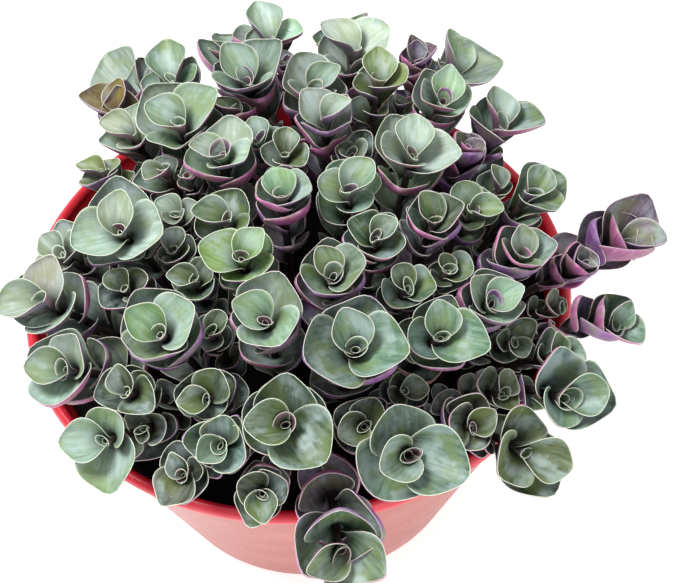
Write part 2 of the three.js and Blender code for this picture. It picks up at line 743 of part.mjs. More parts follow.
function makeSoil() {
  const bottom = FLOOR + SOIL_GAP;
  const side = bodyCurve(WALL + SOIL_GAP).filter((point) => point.y > bottom && point.y < SOIL_TOP);
  const edge = new THREE.Vector2(soilRadius(SOIL_TOP), SOIL_TOP);
  const profile = [
    new THREE.Vector2(0, bottom),
    new THREE.Vector2(FLOOR_RADIUS - SOIL_INSET, bottom),
    ...side,
    edge,
    new THREE.Vector2(SOIL_CROWN_SHARE * edge.x, SOIL_TOP + SOIL_CROWN),
    new THREE.Vector2(0, SOIL_TOP + SOIL_CROWN),
  ];
  const roots = [...new Set(shoots.map((shoot) => shoot.root))];
  const holes = roots.map((root) => {
    const hole = new THREE.CylinderGeometry(HOLE_RADIUS, HOLE_RADIUS, 2 * HOLE_DEPTH, HOLE_SIDES);
    hole.rotateX(Math.PI / 2);
    hole.translate(root.x, root.y, SOIL_TOP);
    return toSolid(hole);
  });
  return toSolid(lathe(profile)).subtract(joined(holes));
}

// Assembly

const plant = new THREE.Group();

function addPiece(name, solid, color, roughness) {
  const material = new THREE.MeshStandardMaterial({ color, roughness, metalness: 0 });
  const mesh = new THREE.Mesh(toGeometry(solid), material);
  mesh.name = name;
  plant.add(mesh);
}

addPiece('pot', toSolid(makePot()), 0xe8626a, 0.4);
addPiece('soil', makeSoil(), 0x1d1512, 0.95);
const names = [...new Set(shoots.map((shoot) => shoot.name))];
for (const name of names) {
  const heads = shoots.filter((shoot) => shoot.name === name);
  addPiece(name, joined(heads.map(makeShoot)), 0x7f9c86, 0.5);
}

export default plant;
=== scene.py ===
"""A potted turtle vine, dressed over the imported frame: a plastic bowl pot, its soil and its leafy shoots.

Lengths are worked out in millimetres, as the solids are, and become metres when a mesh is made.
"""
import math

import bmesh
import bpy
import numpy as np
from mathutils import Matrix, Vector


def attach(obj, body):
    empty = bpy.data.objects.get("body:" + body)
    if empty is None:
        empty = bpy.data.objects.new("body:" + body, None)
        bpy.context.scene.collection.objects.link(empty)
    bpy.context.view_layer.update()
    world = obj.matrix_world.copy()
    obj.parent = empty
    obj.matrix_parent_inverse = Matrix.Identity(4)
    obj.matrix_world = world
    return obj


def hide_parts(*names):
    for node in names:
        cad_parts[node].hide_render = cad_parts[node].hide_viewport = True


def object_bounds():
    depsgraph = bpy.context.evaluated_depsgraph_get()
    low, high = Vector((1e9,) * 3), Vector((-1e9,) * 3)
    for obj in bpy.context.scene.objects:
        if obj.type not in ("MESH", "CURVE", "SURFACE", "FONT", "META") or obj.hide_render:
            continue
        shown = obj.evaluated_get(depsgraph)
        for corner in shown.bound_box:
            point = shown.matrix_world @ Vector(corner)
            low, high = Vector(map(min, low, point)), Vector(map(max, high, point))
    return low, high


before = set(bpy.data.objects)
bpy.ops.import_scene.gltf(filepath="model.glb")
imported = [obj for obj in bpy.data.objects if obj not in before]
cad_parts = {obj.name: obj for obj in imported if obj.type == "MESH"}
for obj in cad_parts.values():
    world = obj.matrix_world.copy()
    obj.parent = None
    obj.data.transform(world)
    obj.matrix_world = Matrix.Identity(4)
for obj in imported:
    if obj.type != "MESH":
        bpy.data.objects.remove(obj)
CAD_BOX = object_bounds()
MM = 0.001
BOX_LOW, BOX_HIGH = (np.array(corner) / MM for corner in CAD_BOX)
TINY = 1e-9

# Pot and soil
RIM_RADIUS = 99.9
POT_HEIGHT = 112.0
SIDE = [(0, 58), (0.05, 61.2), (0.43, 76), (0.84, 92.6), (0.945, 95.6)]
WALL = 2.2
FLOOR = 3.0
FLOOR_RADIUS = 56.0
FOOT_GROOVE = [(52, 0), (52.8, 0.8), (54.6, 0.8), (55.4, 0)]
SIDE_SHARES = [*np.linspace(0, 0.05, 3), *np.linspace(0.1, 0.945, 14)]
LIP_WIDTH = 4.4
LIP_HEIGHT = 5.4
LIP_BEND = np.linspace(-0.45 * math.pi, 1.05 * math.pi, 17)
POT_STEPS = 144
SOIL_TOP = 98.0
SOIL_CROWN = 2.0
SOIL_GAP = 0.3

# Mound of heads
CROWN_HEIGHT = 50.0
CROWN_REACH = 150.0
CROWN_POWER = 2.2

# Lines of the stems
ROOT_SHARE = 0.85
ROOT_SHARE_LOST = 0.28
ELBOW_SHARE = 0.35
ELBOW_RISE = 0.55
RIM_CLEARANCE = 13.0
LEANS_OUT_FROM = 85.0
LEANS_OUT_BY = 112.0
STEM_RADIUS = 1.9
STEM_SINK = 8.0
LENGTH_STEPS = 200
AXIS_STEPS = 5
AXIS_PAST_HEAD = 3.5

# Skin of the stems: thickest at the head and swollen at the joints, with its first rows in the hole
SUNK_SHARE = 0.1
STALK_RADIUS = 1.3
STALK_GROWTH = 0.3
JOINT_SWELL = 0.12
JOINT_PITCH = 40
UPRIGHT_UNTIL = 0.3
BENDING = 4

# Leaves, with the youngest open leaf of a shoot first
THICKNESS = 0.2
HELD_IN = 0.3
LEAF_PER_SPAN = 0.8
WIDTH_PER_LENGTH = 0.64
FOOT_WIDTH = 0.3
WIDEST_AT = 0.42
NARROWING = 2.3
POINTED = 0.7
POINTED_FAR = 0.16
POINTED_ZONE = (-20.0, 80.0)
DIVERGENCE = math.radians(130)
USUAL_SPAN = 28.0
LOWEST_NODE = 0.06
FEWEST_LEAVES = 2
NODE_BELOW = 1
LEAF_DROPS = [1.5, 4.2, 7.4, 11.4, 16.2, 22, 29, 37, 46]
LEAF_GROWTH = [0.76, 0.92, 1.02, 1.08, 1.1, 1.08, 1.04, 1, 0.96]
SHEATH_LEAN = math.radians(6)
SHEATH_FADE = 0.26
SPREAD = [math.radians(a) for a in (54, 66, 74, 76, 76, 76, 76, 76, 78)]
CUPPING = [math.radians(a) for a in (6, 26, 54, 70, 76, 76, 74, 68, 60)]
CUPPING_LEFT = 0.4
CUPPING_BY_BLUSH = 0.75
MOST_INCURVED = math.radians(8)
SPREAD_LOST = math.radians(18)
USUAL_BLUSH = 0.5
CLOSED_FROM = (0.72, 1.0)
CLOSED_SPREAD = math.radians(14)
CLOSED_DROPS = 0.5
CLOSED_NARROWING = 0.16
OUTWARD_GROWTH = 0.14
CLOSED_SHORTENING = 0.15
EDGE_ZONE = (55.0, 100.0)
TALL_GROWTH = 0.28
TALL_ZONE = (20.0, 80.0)
TALL_AGES = 3
TALL_TOWARDS_LIGHT = 0.15
TALL_LIGHT_TURN = np.array([0, -0.3, 0])
NEAR_SHORTENING = 0.22
NEAR_SPREAD = math.radians(14)
TIP_REACH = 1.5
TIP_FROM = 0.9
CLOSED_TOWARDS_LIGHT = 0.15
LIGHT_FROM = np.array([0, -0.14, 0.99])
TOWARDS_LIGHT = 0.35
BASE_CURL = [math.radians(a) for a in (165, 122, 112, 106, 100, 100, 100, 100, 100)]
TIP_CURL = [math.radians(a) for a in (58, 54, 58, 64, 68, 70, 70, 68, 64)]
CURL_REACH = [0.5, 0.38, 0.33, 0.32, 0.32, 0.32, 0.32, 0.32, 0.32]
CURL_POWER = 2.0
MIDRIB_STEPS = 40
RIPPLES = 7
FOOT_FADE = 3
TIP_FADE = 4
CREASE_DEPTH = 0.35
CREASE_WIDTH = 0.13
FIT_ALONG = np.array([0.36, 0.36, 0.36, 0.76, 0.76, 0.76, 1])
FIT_ACROSS = np.array([-1, 0, 1, -1, 0, 1, 0])

# Rolled leaves in the middle of a head
CUP_RADIUS = 4.1
CUP_HEIGHT = 9.0
CUP_LEAST_HEIGHT = 2
CUP_TURNS = 1.1
CUP_SHARES = [1, 0.42]
CUP_LARGEST = 1.25
CUP_SINK = 1.5
CUP_FOOT = 0.34
CUP_SWELLING = 0.9
CUP_OVERLAP = 0.09
CUP_TIP = 0.16

# How far one leaf strays from the next
TURN_STRAY = 0.1
LENGTH_STRAY = 0.04
SPREAD_STRAY = 0.08
HUE_STRAY = 0.06
CURL_RANGE = (0.85, 1.2)
POINTED_RANGE = (0, 0.24)
TIP_RANGE = (0.3, 1.2)
RIPPLE_RANGE = (0.2, 0.8)
CUP_RANGE = (0.62, 1.12)
PINCH_RANGE = (0.5, 0.95)

# Faces of each sheet, across and along
LEAF_GRID = (6, 8)
CUP_GRID = (14, 4)
STALK_GRID = (6, 8)
PACKED_TO_TIP = 0.35
ROUND_ACROSS = 5
NO_EDGE = 9.0
WELD = 1e-6

# Space between neighbours
CLEARANCE = 0.8
LEAF_SIZES = [1, 0.9, 0.8, 0.7, 0.6]
MOST_PRESSED = 0.22
MOST_PRESSED_AT_LAST = 0.44
SOFT_START = 0.8
SETTLE = 1.2
NEIGHBOUR_REACH = 60.0
FURTHEST = 240.0
LEAST_BORDER = 1e-6
ABOVE_SOIL = 3.0
ABOVE_RIM = 1.6
RIM_ZONE = (80.0, 93.0)
DROOP_SLOPE = 2.5

# View of the photograph
PHOTO = (679, 583)
FOCAL = 1636.0
VIEW_DISTANCE = 600.0
VIEW_ELEVATION = math.radians(51)
VIEW_ROLL = math.radians(-3.5)
VIEW_TARGET = np.array([15.2, -2.8, POT_HEIGHT - 3])
SIGHT_STEPS = 40
SIGHT_SHARE = 0.5

# Studio, in metres
SENSOR = 36
FLOOR_SIZE = 6
FLOOR_GLOW = 0.6
SKY_STRENGTH = 0.42
LIT_POINT = (0, 0, 0.1)
KEY = {"place": (-0.34, 0.0, 0.9), "size": 0.36, "power": 8.3}
FILL = {"place": (0.4, -0.9, 0.5), "size": 0.8, "power": 4.6}

# Heads seen in the photograph: stem, pixel, span in pixels, direction of the youngest open leaf in
# degrees clockwise from up, turn of the spiral (1 clockwise), lift above the mound in mm, tone of
# the upper faces, and how purple the undersides are. A stem's later rows are its branches.
HEADS = [
    ("stem_01", 182, 131, 80, 292, 1, 4, "mint", 0.5),
    ("stem_01", 174, 88, 63, 350, 1, 0, "teal", 0.5),
    ("stem_02", 122, 116, 60, 20, -1, -4, "brown", 0.9),
    ("stem_02", 135, 140, 60, 285, -1, -4, "frost", 0.4),
    ("stem_03", 223, 161, 74, 265, -1, 2, "pale", 0.7),
    ("stem_04", 248, 86, 74, 320, -1, 2, "grey", 0.8),
    ("stem_04", 270, 48, 60, 345, 1, 2, "pale", 0.7),
    ("stem_05", 314, 96, 67, 60, 1, 0, "grey", 0.7),
    ("stem_05", 287, 70, 35, 200, 1, -2, "plum", 0.9),
    ("stem_06", 352, 60, 65, 310, 1, -2, "frost", 0.4),
    ("stem_07", 378, 88, 60, 0, 1, 2, "olive", 0.4),
    ("stem_08", 326, 126, 68, 80, -1, 4, "frost", 0.8),
    ("stem_09", 411, 161, 76, 5, -1, 4, "pale", 0.4),
    ("stem_10", 441, 106, 63, 10, -1, 2, "pale", 0.6),
    ("stem_10", 415, 68, 52, 340, 1, -2, "plum", 1.0),
    ("stem_11", 496, 132, 74, 0, 1, 2, "teal", 0.7),
    ("stem_11", 466, 160, 64, 200, -1, -6, "plum", 1.0),
    ("stem_12", 283, 202, 71, 340, 1, 4, "pale", 0.82),
    ("stem_13", 349, 197, 75, 40, -1, 2, "mint", 0.3),
    ("stem_14", 375, 242, 63, 60, -1, 0, "dark", 0.4),
    ("stem_15", 433, 226, 68, 320, 1, 2, "dark", 0.8),
    ("stem_16", 470, 215, 57, 100, -1, -2, "green", 0.3),
    ("stem_16", 497, 192, 52, 330, 1, -4, "dark", 0.4),
    ("stem_17", 528, 200, 67, 30, 1, 0, "green", 0.3),
    ("stem_18", 519, 259, 76, 350, -1, 4, "grey", 0.85),
    ("stem_19", 616, 252, 101, 125, 1, 6, "plum", 0.95),
    ("stem_19", 578, 270, 62, 200, 1, 0, "plum", 1.0),
    ("stem_20", 606, 328, 74, 30, 1, 2, "teal", 0.9),
    ("stem_21", 559, 398, 85, 80, 1, 2, "teal", 0.4),
    ("stem_21", 553, 358, 57, 345, 1, 0, "dark", 0.5),
    ("stem_22", 519, 451, 85, 110, 1, 0, "moss", 0.4),
    ("stem_23", 489, 307, 71, 70, -1, 2, "mint", 0.8),
    ("stem_24", 439, 340, 80, 350, 1, 2, "teal", 0.5),
    ("stem_25", 355, 352, 98, 338, 1, 6, "teal", 0.7),
    ("stem_26", 266, 325, 85, 287, -1, 4, "mint", 0.7),
    ("stem_27", 162, 337, 85, 300, 1, 4, "mint", 0.7),
    ("stem_28", 130, 394, 68, 350, 1, -2, "deep", 0.3),
    ("stem_28", 145, 430, 50, 180, 1, -8, "shade", 0.3),
    ("stem_29", 243, 263, 71, 45, -1, 2, "lime", 0.3),
    ("stem_30", 229, 226, 67, 270, -1, -2, "dark", 0.3),
    ("stem_31", 333, 280, 76, 325, 1, 4, "green", 0.8),
    ("stem_32", 406, 292, 58, 320, 1, -6, "dark", 0.3),
    ("stem_33", 447, 274, 52, 330, 1, -6, "dark", 0.3),
    ("stem_34", 197, 284, 58, 270, 1, -6, "dark", 0.3),
    ("stem_35", 128, 292, 57, 320, 1, -6, "shade", 0.4),
    ("stem_36", 175, 255, 52, 10, 1, -6, "shade", 0.3),
    ("stem_37", 168, 176, 58, 200, 1, -4, "grey", 0.5),
    ("stem_37", 190, 182, 50, 150, -1, -6, "frost", 0.6),
    ("stem_38", 178, 220, 50, 170, 1, -6, "pale", 0.3),
    ("stem_39", 122, 235, 82, 10, -1, 4, "frost", 0.4),
    ("stem_40", 66, 258, 55, 310, 1, -8, "frost", 0.3),
    ("stem_41", 49, 306, 80, 250, 1, 2, "frost", 0.4),
    ("stem_42", 70, 372, 78, 270, 1, 0, "pale", 0.7),
    ("stem_43", 107, 441, 80, 265, 1, 0, "mint", 0.3),
    ("stem_44", 208, 400, 60, 260, 1, -4, "deep", 0.4),
    ("stem_44", 213, 337, 57, 60, 1, -8, "dark", 0.4),
    ("stem_45", 222, 446, 65, 230, 1, -2, "teal", 0.4),
    ("stem_46", 286, 426, 90, 265, -1, 2, "dark", 0.5),
    ("stem_47", 364, 427, 74, 250, 1, -4, "deep", 0.5),
    ("stem_48", 407, 455, 96, 245, -1, 4, "teal", 0.4),
    ("stem_49", 470, 428, 63, 50, -1, -2, "shade", 0.7),
    ("stem_49", 499, 395, 60, 20, 1, -8, "deep", 0.3),
    ("stem_50", 185, 475, 57, 340, -1, -6, "shade", 0.3),
    ("stem_51", 263, 493, 58, 170, 1, -6, "deep", 0.6),
    ("stem_52", 340, 547, 98, 260, -1, -4, "green", 0.8),
    ("stem_53", 285, 160, 60, 10, 1, -2, "moss", 0.4),
    ("stem_53", 262, 146, 52, 340, -1, -4, "teal", 0.4),
    ("stem_54", 352, 158, 58, 150, 1, -4, "deep", 0.8),
    ("stem_54", 400, 110, 52, 200, 1, -6, "frost", 0.5),
    ("stem_55", 238, 118, 55, 270, 1, -6, "deep", 0.8),
    ("stem_56", 510, 345, 57, 160, 1, -6, "dark", 0.3),
    ("stem_47", 402, 392, 52, 90, 1, -12, "shade", 0.3),
    ("stem_39", 106, 180, 52, 300, 1, -8, "olive", 0.4),
    ("stem_18", 556, 310, 50, 150, 1, -10, "moss", 0.3),
]

# Heads on the far side of the mound, which the photograph doesn't show
FAR_STEMS = ["stem_57", "stem_57", "stem_58", "stem_58"]
FAR_TONES = ["grey", "teal", "green", "grey"]
FAR_RADIUS = 108.0
FAR_FROM = math.radians(55)
FAR_STEP = math.radians(23)
FAR_HEIGHT = 12.0
FAR_SPAN = 25.0
FAR_BLUSH = 0.6


def linear(red, green, blue):
    """A screen colour of 0 to 255 as the linear colour that a shader takes."""
    shares = [channel / 255 for channel in (red, green, blue)]
    return np.array([c / 12.92 if c <= 0.04045 else ((c + 0.055) / 1.055) ** 2.4 for c in shares])


# Tones of the upper faces of the heads. deep and shade are painted shade for heads sunk low among their
# neighbours, and dark is partly a darker green and partly painted shade.
TONES = {
    "grey": linear(132, 154, 138),
    "mint": linear(152, 186, 160),
    "teal": linear(94, 132, 116),
    "green": linear(116, 148, 116),
    "olive": linear(134, 148, 90),
    "moss": linear(86, 98, 56),
    "lime": linear(138, 178, 86),
    "pale": linear(174, 200, 182),
    "frost": linear(190, 212, 196),
    "dark": linear(62, 94, 72),
    "deep": linear(38, 60, 44),
    "shade": linear(20, 28, 20),
    "plum": linear(134, 104, 136),
    "brown": linear(134, 92, 60),
}
CUP_TONE = linear(124, 140, 70)
OLD_TONE = linear(70, 94, 84)
AGED_VIOLET = linear(148, 100, 158)
SHADE_TONE = linear(30, 36, 24)
GREY_UNDER = linear(122, 122, 112)
PURPLE_UNDER = linear(136, 76, 150)
MAGENTA_UNDER = linear(194, 95, 161)
# Pale blue-white of the patches and flecks: partly glaucous wax and dust, partly painted sheen and glints.
WAX_AND_SHEEN_TONE = linear(180, 200, 200)
STALK_TONE = linear(34, 16, 26)
CREAM = linear(224, 234, 210)
PINK_EDGE = linear(222, 206, 208)

# Colours by the age of a leaf: young ones yellow, old ones dull or, in purple shoots, violet
YOUNG_SHARE = 0.3
YOUNG_FADE = 0.15
OLD_FROM = 1
OLD_GAIN = 0.16
VIOLET_FROM = 2
VIOLET_GAIN = 0.3
VIOLET_BLUSH = (0.6, 0.85)
AGED_SHARE = 0.75
UPPER_BRIGHTNESS = (0.78, 1.24)
# Painted light: upper faces of the heads at the back are made brighter, for the stronger light that falls
# there.
TALL_PAINTED_LIGHT = 0.3
PURPLE_SHARE = 0.35
PURPLE_BY_BLUSH = 0.6
PURPLE_BY_AGE = 0.08
PURPLE_ODDS = 0.6
UNDER_BRIGHTNESS = (0.7, 1.25)


# Lines of the shoots, as the solids have them

def unit(vector):
    """A vector, or each row of them, made one long."""
    return vector / np.maximum(np.linalg.norm(vector, axis=-1, keepdims=True), TINY)


def smoothstep(value, low, high):
    """Smooth rise from 0 at low to 1 at high."""
    share = np.clip((value - low) / (high - low), 0, 1)
    return share * share * (3 - 2 * share)


VIEW_BACK = np.array([0, -math.cos(VIEW_ELEVATION), math.sin(VIEW_ELEVATION)])
LEVEL = np.array([1.0, 0, 0])
RISE = np.cross(VIEW_BACK, LEVEL)
VIEW_RIGHT = LEVEL * math.cos(VIEW_ROLL) + RISE * math.sin(VIEW_ROLL)
VIEW_UP = RISE * math.cos(VIEW_ROLL) - LEVEL * math.sin(VIEW_ROLL)
EYE = VIEW_TARGET + VIEW_BACK * VIEW_DISTANCE


def crown(radius):
    """Height of the mound of heads."""
    return POT_HEIGHT + CROWN_HEIGHT * (1 - (radius / CROWN_REACH) ** CROWN_POWER)


def place_on_mound(pixel_x, pixel_y, lift):
    """Where the line of sight through a pixel meets the mound."""
    sight = (-VIEW_BACK + VIEW_RIGHT * (pixel_x - PHOTO[0] / 2) / FOCAL
             + VIEW_UP * (PHOTO[1] / 2 - pixel_y) / FOCAL)
    height = crown(0)
    for _ in range(SIGHT_STEPS):
        point = EYE + sight * (height - EYE[2]) / sight[2]
        height += SIGHT_SHARE * (crown(math.hypot(point[0], point[1])) + lift - height)
    return point


def root_under(head):
    """Where the stem of a head stands in the soil."""
    share = ROOT_SHARE - ROOT_SHARE_LOST * math.hypot(head[0], head[1]) / CROWN_REACH
    return np.array([head[0] * share, head[1] * share, SOIL_TOP + SOIL_CROWN + SOIL_GAP])


def turned(vector, axis, angle):
    """A vector turned about a unit axis."""
    return (vector * math.cos(angle) + np.cross(axis, vector) * math.sin(angle)
            + axis * np.dot(axis, vector) * (1 - math.cos(angle)))


class Shoot:
    """One leafy shoot: a stem from the soil to its head."""

    def __init__(self, name, head, root, span, spin, turn, tone, blush):
        self.name, self.head, self.root, self.span = name, head, root, span
        self.turn, self.tone, self.blush = turn, TONES[tone], blush
        outward = math.hypot(head[0], head[1])
        self.pointed = POINTED + POINTED_FAR * smoothstep(head[1], *POINTED_ZONE)
        self.closed = smoothstep(blush, *CLOSED_FROM)
        self.tall = smoothstep(head[1], *TALL_ZONE)
        self.radial = np.array([head[0], head[1], 0]) / outward * smoothstep(outward, *EDGE_ZONE)
        self.light = unit(LIGHT_FROM + TALL_LIGHT_TURN * self.tall)
        self.elbow = root + (head - root) * ELBOW_SHARE
        leaning = smoothstep(outward, LEANS_OUT_FROM, LEANS_OUT_BY)
        clear_of_rim = root[2] + (POT_HEIGHT + RIM_CLEARANCE - root[2]) * leaning
        self.elbow[2] = max(root[2] + ELBOW_RISE * (head[2] - root[2]), clear_of_rim)
        self.axis = self.upright(1)
        first = VIEW_RIGHT * math.sin(spin) + VIEW_UP * math.cos(spin)
        self.first = unit(first - self.axis * np.dot(first, self.axis))
        steps = np.array([self.point(t) for t in np.linspace(0, 1, LENGTH_STEPS + 1)])
        self.length = np.linalg.norm(np.diff(steps, axis=0), axis=1).sum()
        self.line = np.array([self.point(t) for t in np.linspace(0, 1, AXIS_STEPS + 1)]
                             + [head + self.axis * AXIS_PAST_HEAD])

    def point(self, t):
        """Point of the stem at t, from 0 at the soil to 1 at the head."""
        return (1 - t) ** 2 * self.root + 2 * t * (1 - t) * self.elbow + t * t * self.head

    def tangent(self, t):
        """Direction of the stem at t."""
        return unit((1 - t) * (self.elbow - self.root) + t * (self.head - self.elbow))

    def upright(self, t):
        """Direction in which the leaves at t stand: along the stem, turned up towards the light."""
        turned_up = TOWARDS_LIGHT + CLOSED_TOWARDS_LIGHT * self.closed + TALL_TOWARDS_LIGHT * self.tall
        return unit(self.tangent(t) * (1 - turned_up) + self.light * turned_up)

    def node_at(self, age):
        """Where on the stem the leaf of an age grows."""
        drop = LEAF_DROPS[age] * (1 - CLOSED_DROPS * self.closed)
        return 1 - drop * self.span / USUAL_SPAN / self.length

    def ages(self):
        """Leaves whose nodes are high enough above the soil and the rim."""
        held = []
        for age in range(len(LEAF_DROPS)):
            t = self.node_at(age)
            node = self.point(max(0, t))
            clear = node[2] > lowest(math.hypot(node[0], node[1])) - NODE_BELOW
            if age < FEWEST_LEAVES or (t > LOWEST_NODE and clear):
                held.append(age)
        return held


def lay_out():
    """All shoots, with the branches of a stem on one root."""
    rows = []
    for name, x, y, span, spin, turn, lift, tone, blush in HEADS:
        head = place_on_mound(x, y, lift)
        scale = FOCAL / np.linalg.norm(EYE - head)
        rows.append((name, head, span / scale, math.radians(spin), turn, tone, blush))
    for index, (name, tone) in enumerate(zip(FAR_STEMS, FAR_TONES)):
        angle = FAR_FROM + index * FAR_STEP
        out, up = FAR_RADIUS, POT_HEIGHT + FAR_HEIGHT
        head = np.array([math.cos(angle) * out, math.sin(angle) * out, up])
        rows.append((name, head, FAR_SPAN, index, 1 if index % 2 else -1, tone, FAR_BLUSH))
    shoots = []
    for name, head, span, spin, turn, tone, blush in rows:
        middle = np.mean([other[1] for other in rows if other[0] == name], axis=0)
        shoots.append(Shoot(name, head, root_under(middle), span, spin, turn, tone, blush))
    for shoot in shoots:
        shoot.others = [other for other in shoots
                        if other is not shoot and np.linalg.norm(other.head - shoot.head) < NEIGHBOUR_REACH]
    return shoots


# Space of each shoot: everything that is nearer to its own stem than to any other, by its span

def nearest(line, points):
    """Nearest point of a line of straight stretches to each point."""
    best = np.full(len(points), np.inf)
    found = np.zeros_like(points)
    for start, end in zip(line[:-1], line[1:]):
        stretch = end - start
        share = np.clip((points - start) @ stretch / (stretch @ stretch), 0, 1)
        here = start + share[:, None] * stretch
        gap = ((points - here) ** 2).sum(1)
        nearer = gap < best
        best[nearer] = gap[nearer]
        found[nearer] = here[nearer]
    return found


def lowest(radius):
    """Height that leaves keep above the soil and the rim."""
    at_rim = smoothstep(radius, *RIM_ZONE)
    ground = SOIL_TOP + SOIL_CROWN + ABOVE_SOIL
    ground = ground + (POT_HEIGHT + ABOVE_RIM - ground) * at_rim
    return ground - DROOP_SLOPE * np.maximum(0, radius - RIM_RADIUS - ABOVE_RIM)


def press(points, shoot):
    """Presses points of a leaf back into its shoot's space, and up from the soil and the rim."""
    own = nearest(shoot.line, points)
    ray = points - own
    reach = np.linalg.norm(ray, axis=1)
    ray = ray / np.maximum(reach, TINY)[:, None]
    limit = np.full(len(points), np.inf)
    for other in shoot.others:
        gap = nearest(other.line, points) - own
        ratio = other.span / shoot.span
        along = (gap * ray).sum(1)
        square = (gap ** 2).sum(1)
        root = along ** 2 - (1 - ratio ** 2) * square
        border = along + np.sqrt(np.maximum(root, 0))
        held = (root >= 0) & (border > LEAST_BORDER)
        limit = np.minimum(limit, np.where(held, square / np.where(held, border, 1) - CLEARANCE, np.inf))
    limit = np.maximum(limit, STEM_RADIUS)
    limit = np.minimum(limit, FURTHEST)
    start = SOFT_START * limit
    room = limit - start
    over = reach > start
    soft = start + room * (1 - np.exp(np.minimum(0, (start - reach) / room)))
    moved = np.where(over[:, None], own + ray * np.where(over, soft, 0)[:, None], points)
    floor = lowest(np.hypot(moved[:, 0], moved[:, 1]))
    moved[:, 2] = floor + SETTLE * np.logaddexp(0, (moved[:, 2] - floor) / SETTLE)
    return np.clip(moved, BOX_LOW + HELD_IN, BOX_HIGH - HELD_IN)


# Leaves

def half_width(s, widest, pointed):
    """Half the width of a leaf at a share of its length, broad at the foot and drawn to a short tip."""
    rise = np.sin(math.pi / 2 * np.minimum(1, s / WIDEST_AT)) ** 2
    past = np.maximum(0, (s - WIDEST_AT) / (1 - WIDEST_AT))
    return widest * (FOOT_WIDTH + (1 - FOOT_WIDTH) * rise) * np.maximum(0, 1 - past ** NARROWING) ** pointed


class Leaf:
    """A cupped, clasping leaf: s runs from its foot to its tip and v from edge to edge."""

    def __init__(self, shoot, age, draw):
        t = shoot.node_at(age)
        self.shoot, self.age = shoot, age
        self.root = shoot.point(t)
        self.axis = shoot.upright(t)
        angle = -shoot.turn * DIVERGENCE * age + (draw.normal() * TURN_STRAY if age > 1 else 0)
        outward = turned(shoot.first, shoot.axis, angle)
        self.outward = unit(outward - self.axis * np.dot(outward, self.axis))
        self.across = np.cross(self.axis, self.outward)
        self.length = LEAF_PER_SPAN * shoot.span * LEAF_GROWTH[age]
        self.length *= 1 + LENGTH_STRAY * draw.normal()
        self.length *= 1 + OUTWARD_GROWTH * np.dot(self.outward, shoot.radial)
        self.length *= 1 + (TALL_GROWTH * shoot.tall if age < TALL_AGES else 0)
        near = shoot.tall * max(0, -np.dot(self.outward, shoot.radial))
        self.length *= (1 - CLOSED_SHORTENING * shoot.closed) * (1 - NEAR_SHORTENING * near)
        self.widest = WIDTH_PER_LENGTH * (1 - CLOSED_NARROWING * shoot.closed)
        self.spread = SPREAD[age] + SPREAD_LOST * (USUAL_BLUSH - shoot.blush) + SPREAD_STRAY * draw.normal()
        self.spread += NEAR_SPREAD * near - CLOSED_SPREAD * shoot.closed
        cupping = CUPPING[age] * (CUPPING_LEFT + CUPPING_BY_BLUSH * shoot.blush)
        self.cupping = min(cupping, self.spread + MOST_INCURVED)
        self.curl = TIP_CURL[age] * draw.uniform(*CURL_RANGE)
        self.pointed = shoot.pointed + draw.uniform(*POINTED_RANGE)
        self.tip = TIP_REACH * draw.uniform(*TIP_RANGE)
        self.ripple = draw.uniform(*RIPPLE_RANGE, 2)[0]
        self.phase = draw.uniform(0, 2 * math.pi, 2)[0]

    def lean(self, s):
        """Lean of the midrib from the shoot's direction: upright in the sheath, spread, then cupped."""
        return self.spread + (SHEATH_LEAN - self.spread) * np.exp(-s / SHEATH_FADE) - self.cupping * s ** 2

    def midrib(self, s):
        """How far out and how far along the shoot the midrib has come."""
        shares = np.linspace(0, 1, MIDRIB_STEPS + 1)
        middles = self.lean((shares[1:] + shares[:-1]) / 2)
        step = self.length * shares[1]
        out = np.concatenate([[0], np.cumsum(np.sin(middles) * step)])
        along = np.concatenate([[0], np.cumsum(np.cos(middles) * step)])
        return np.interp(s, shares, out), np.interp(s, shares, along)

    def points(self, s, v):
        """Points of the leaf before its neighbours press on it."""
        lean = self.lean(s)
        out, along = self.midrib(s)
        tip = self.tip * np.maximum(0, (s - TIP_FROM) / (1 - TIP_FROM)) ** 2
        out, along = out + tip * np.sin(lean), along + tip * np.cos(lean)
        wrap = BASE_CURL[self.age]
        curl = self.curl + (wrap - self.curl) * np.exp(-(s / CURL_REACH[self.age]) ** CURL_POWER)
        widest = self.widest * self.length
        radius = half_width(s, widest, self.pointed) / curl
        clasp = FOOT_WIDTH * widest / wrap
        lift = radius * (1 - np.cos(curl * v))
        past_foot = np.minimum(1, s * FOOT_FADE)
        ripple = self.ripple * np.sin(RIPPLES * s + self.phase) * np.abs(v) ** 3
        crease = CREASE_DEPTH * np.exp(-(v / CREASE_WIDTH) ** 2)
        before_tip = np.minimum(1, TIP_FADE * (1 - s))
        lift = lift + ripple * past_foot * before_tip - crease * past_foot * (1 - s)
        point = self.root + np.outer(out + clasp - lift * np.cos(lean), self.outward)
        point = point + np.outer(along + lift * np.sin(lean), self.axis)
        return point + np.outer(radius * np.sin(curl * v), self.across)

    def fit(self):
        """Takes the largest size that the shoot's space holds without pressing the leaf out of form."""
        full = self.length
        for size in LEAF_SIZES:
            self.length = full * size
            free = self.points(FIT_ALONG, FIT_ACROSS)
            pressed = np.linalg.norm(press(free, self.shoot) - free, axis=1).max()
            if pressed < MOST_PRESSED * self.length:
                return True
        return pressed < MOST_PRESSED_AT_LAST * self.length


